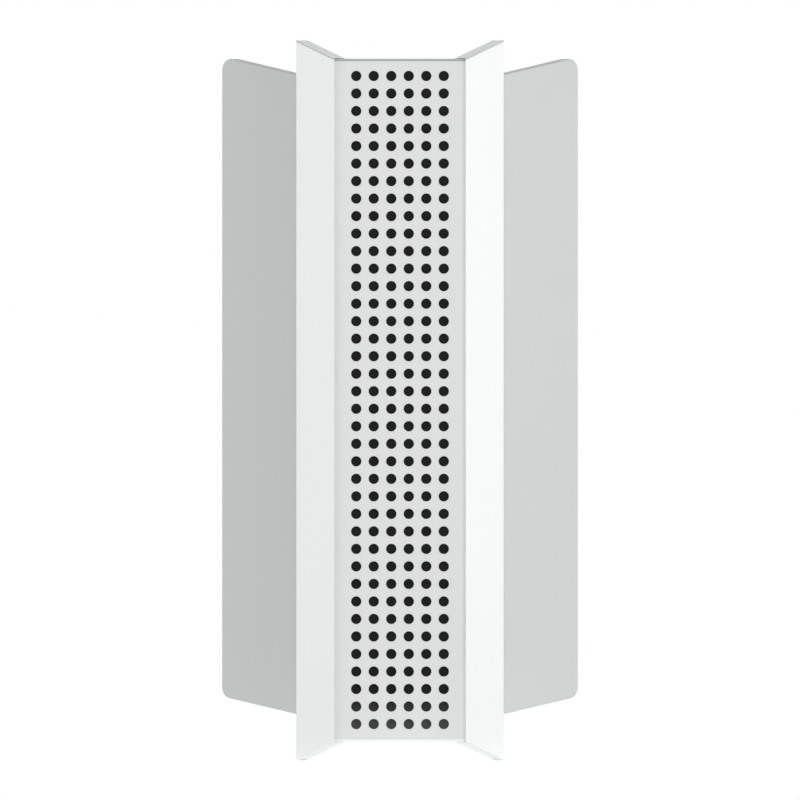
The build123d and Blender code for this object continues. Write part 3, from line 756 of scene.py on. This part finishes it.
# a spring's points, in mm, are its distance off the socket's floor and in from the mouth
springLook = {"contacts": 8, "pitch": 1.02 * mm, "width": 0.42 * mm, "thickness": 0.22 * mm,
              "floor": 2.0 * mm,
              "path": [(0.15, -2.2), (0.3, -3.4), (1.9, -9.8), (2.1, -10.6), (2.1, -13.2)]}
lensLook = {"size": (2.3 * mm, 0.5 * mm, 2.3 * mm), "fromRight": 2.2 * mm, "side": 5.9 * mm,
            "proud": 0.1 * mm, "edge": 0.09 * mm}
jacks = ["uplink_jack"] + [f"local_jack_{i}" for i in (1, 2, 3)]


def jackContacts(look):
    # spring contacts in each socket
    mouths = []
    for node in jacks:
        low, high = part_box(node)
        mouths.append((low.x + look["floor"], high.y, (low.z + high.z) / 2))
    spring = ribbon([(x * mm, y * mm) for x, y in look["path"]], look["thickness"], look["width"])
    mesh = contactRow(mouths, spring, look["contacts"], look["pitch"])
    newPiece("jackContacts", mesh, "contactGold", "tower")


def jackLenses(look):
    # two small light windows on each socket's face
    x, y, z = (side / 2 for side in look["size"])
    proud = look["proud"]
    lens = softBlock((-x, proud - 2 * y, -z), (x, proud, z), look["edge"])
    for finish, side in (("lensAmber", -1), ("lensGreen", 1)):
        places = []
        for node in jacks:
            low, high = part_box(node)
            middle = (low.z + high.z) / 2
            places.append((high.x - look["fromRight"], high.y, middle + side * look["side"]))
        newPiece(finish.replace("lens", "jackLens"), scatterCopies(lens, places, finish), finish, "tower")


jackContacts(springLook)
jackLenses(lensLook)

tongueLook = {"size": (1.98 * mm, 9.6 * mm, 11.1 * mm), "edge": 0.15 * mm, "inMouth": 0.96 * mm,
              "offWall": 1.16 * mm, "pads": 4, "padPitch": 2.4 * mm, "padIn": 0.6 * mm,
              "pad": (0.1 * mm, 7.0 * mm, 1.1 * mm), "padEdge": 0.04 * mm}


def dataPort(look):
    # plastic tongue with its contact pads, in the plated shell
    low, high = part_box("usb_port")
    thick, deep, wide = look["size"]
    right = high.x - look["offWall"]
    mouth = high.y - look["inMouth"]
    middle = (low.z + high.z) / 2
    tongue = softBlock((right - thick, mouth - deep, middle - wide / 2),
                       (right, mouth, middle + wide / 2), look["edge"])
    newPiece("dataPortTongue", tongue, "portBlack", "tower")
    thickPad, deepPad, widePad = look["pad"]
    pad = softBlock((-thickPad, -deepPad, -widePad / 2), (thickPad, 0, widePad / 2), look["padEdge"],
                    segments=1)
    mesh = contactRow([(right - thick, mouth - look["padIn"], middle)], pad, look["pads"], look["padPitch"])
    newPiece("dataPortPads", mesh, "contactGold", "tower")


# the tip's points are shares of the pin's radius and of the tip's length
pinLook = {"radius": 1.04 * mm, "length": 9.0 * mm, "inMouth": 0.96 * mm, "tipLength": 0.5 * mm,
           "tip": [(1.0, -1.0), (0.8, -0.3), (0.4, 0.0)], "sides": 24}


def inletPin(look):
    low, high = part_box("power_inlet")
    radius = look["radius"]
    profile = [(radius, -look["length"])]
    profile += [(wide * radius, up * look["tipLength"]) for wide, up in look["tip"]]
    mesh = lathe(profile, look["sides"])
    middle = Vector(((low.x + high.x) / 2, high.y - look["inMouth"], (low.z + high.z) / 2))
    mesh.transform(Matrix.Translation(middle) @ Matrix.Rotation(-math.pi / 2, 4, "X"))
    newPiece("inletPin", mesh, "shieldTin", "tower")


dataPort(tongueLook)
inletPin(pinLook)

markLook = {"radius": 0.55 * mm, "rise": 0.22 * mm, "sunk": 0.1 * mm, "steps": 4, "sides": 20,
            "pitch": 2.2 * mm, "off": 3.4 * mm}


def portMarks(look):
    # raised dots beside the sockets: one, two and three
    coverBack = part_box("rear_cover")[1].y
    places = []
    for count, node in enumerate(jacks[1:], 1):
        low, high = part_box(node)
        z = (low.z + high.z) / 2
        for i in range(count):
            places.append((low.x - look["off"], coverBack, z + (i - (count - 1) / 2) * look["pitch"]))
    radius, rise = look["radius"], look["rise"]
    steps = [math.pi / 2 * i / look["steps"] for i in range(look["steps"])]
    profile = [(radius, -look["sunk"])] + [(radius * math.cos(a), rise * math.sin(a)) for a in steps]
    mesh = scatterCopies(lathe(profile, look["sides"]), places, "buttonGrey", facingBack)
    newPiece("portMarks", mesh, "buttonGrey", "tower")


portMarks(markLook)
print("rear fittings made")


# stage

stageLook = {"floorSize": 8.0, "floorDiffuse": 0.30, "floorSeen": 0.74, "floorNear": 1.0, "floorFar": 0.55,
             "floorDim": 0.2, "poolReach": 0.05, "dimAcross": 0.043, "dimAhead": 0.049, "dimReach": 0.022,
             "zenith": 0.66, "horizon": 0.24, "backdrop": 1.0}


def seenByEye(start):
    # 1 for rays that the viewer sees directly, in gloss or through clear plastic
    rays = [start.node("ShaderNodeLightPath", {}, {}, f"Is {kind} Ray")
            for kind in ("Camera", "Glossy", "Transmission")]
    return (rays[0] + rays[1] + rays[2]).clip()


def mound(first, second):
    # 1 where both are zero, falling away smoothly all round
    away = first * first + second * second
    return away.math("EXPONENT", away * -1.0)


def floorFinish(look):
    material = bpy.data.materials.new("paleFloor")
    tree, output = bareTree(material, "ShaderNodeOutputMaterial")
    spot = Wire(tree).node("ShaderNodeTexCoord", {}, {}, "Object")
    across, deep = axisOf(spot, "X"), axisOf(spot, "Y")
    pool = mound(across / look["poolReach"], deep / look["poolReach"])
    sideways = (across.math("ABSOLUTE", across) - look["dimAcross"]) / look["dimReach"]
    dim = mound(sideways, (deep + look["dimAhead"]) / look["dimReach"])
    # painted light and shade: for lit rays the floor glows strongest under the body and weakest in front of
    # the two plates, in place of bounce light and a contact shadow
    bounce = blendColour(dim, grey(look["floorFar"]), grey(look["floorDim"]))
    bounce = blendColour(pool, bounce, grey(look["floorNear"]))
    colour = blendColour(seenByEye(spot), bounce, grey(look["floorSeen"]))
    glow = spot.node("ShaderNodeEmission", {}, {"Color": colour, "Strength": 1.0})
    base = spot.node("ShaderNodeBsdfDiffuse", {}, {"Color": grey(look["floorDiffuse"])})
    both = spot.node("ShaderNodeAddShader", {}, {0: base, 1: glow})
    tree.links.new(both.socket, output.inputs[0])
    return material


def paleFloor(look):
    half = look["floorSize"] / 2
    corners = [(-half, -half, 0), (half, -half, 0), (half, half, 0), (-half, half, 0)]
    mesh = bpy.data.meshes.new("floor")
    mesh.from_pydata(corners, [], [(0, 1, 2, 3)])
    mesh.materials.append(floorFinish(look))
    floor = addObject("floor", mesh)


def studioWorld(look):
    world = bpy.data.worlds.new("studio")
    scene.world = world
    tree, output = bareTree(world, "ShaderNodeOutputWorld")
    spot = Wire(tree).node("ShaderNodeTexCoord", {}, {}, "Generated")
    level = blendColour(axisOf(spot, "Z").clip(), grey(look["horizon"]), grey(look["zenith"]))
    colour = blendColour(seenByEye(spot), level, grey(look["backdrop"]))
    sky = spot.node("ShaderNodeBackground", {}, {"Color": colour, "Strength": 1.0})
    tree.links.new(sky.socket, output.inputs[0])


def softLamp(name, look):
    data = bpy.data.lights.new(name, "AREA")
    data.shape = "RECTANGLE"
    data.size, data.size_y = look["size"]
    data.energy = look["energy"]
    lamp = addObject(name, data)
    turn = math.radians(look["azimuth"])
    reach = look["distance"]
    lamp.location = (reach * math.sin(turn), -reach * math.cos(turn), look["height"])
    aim = Vector((0, 0, look["aimHeight"])) - lamp.location
    lamp.rotation_euler = aim.to_track_quat("-Z", "Y").to_euler()
    lamp.visible_camera = False


leftKey = {"azimuth": -50.0, "distance": 1.2, "height": 0.265, "aimHeight": 0.115, "size": (0.9, 0.53),
           "energy": 4.1}
rightRim = dict(leftKey, azimuth=84.0, size=(0.7, 0.53), energy=4.0)
frontFill = dict(rightRim, azimuth=25.0)
rearFill = dict(rightRim, azimuth=-150.0, height=0.45, energy=2.4)
studioLamps = {"leftKey": leftKey, "rightRim": rightRim, "frontFill": frontFill, "rearFill": rearFill}
paleFloor(stageLook)
studioWorld(stageLook)
for name, look in studioLamps.items():
    softLamp(name, look)

cameraLook = {"distance": 1.2, "frameWidth": 256.0 * mm, "height": 115.3 * mm}
cameraData = bpy.data.cameras.new("front")
cameraData.type = "ORTHO"  # the picture has no foreshortening at all
cameraData.ortho_scale = cameraLook["frameWidth"]
camera = addObject("front", cameraData)
camera.location = (0, -cameraLook["distance"], cameraLook["height"])
camera.rotation_euler = (math.pi / 2, 0, 0)
scene.camera = camera
print("stage, lamps and camera set")
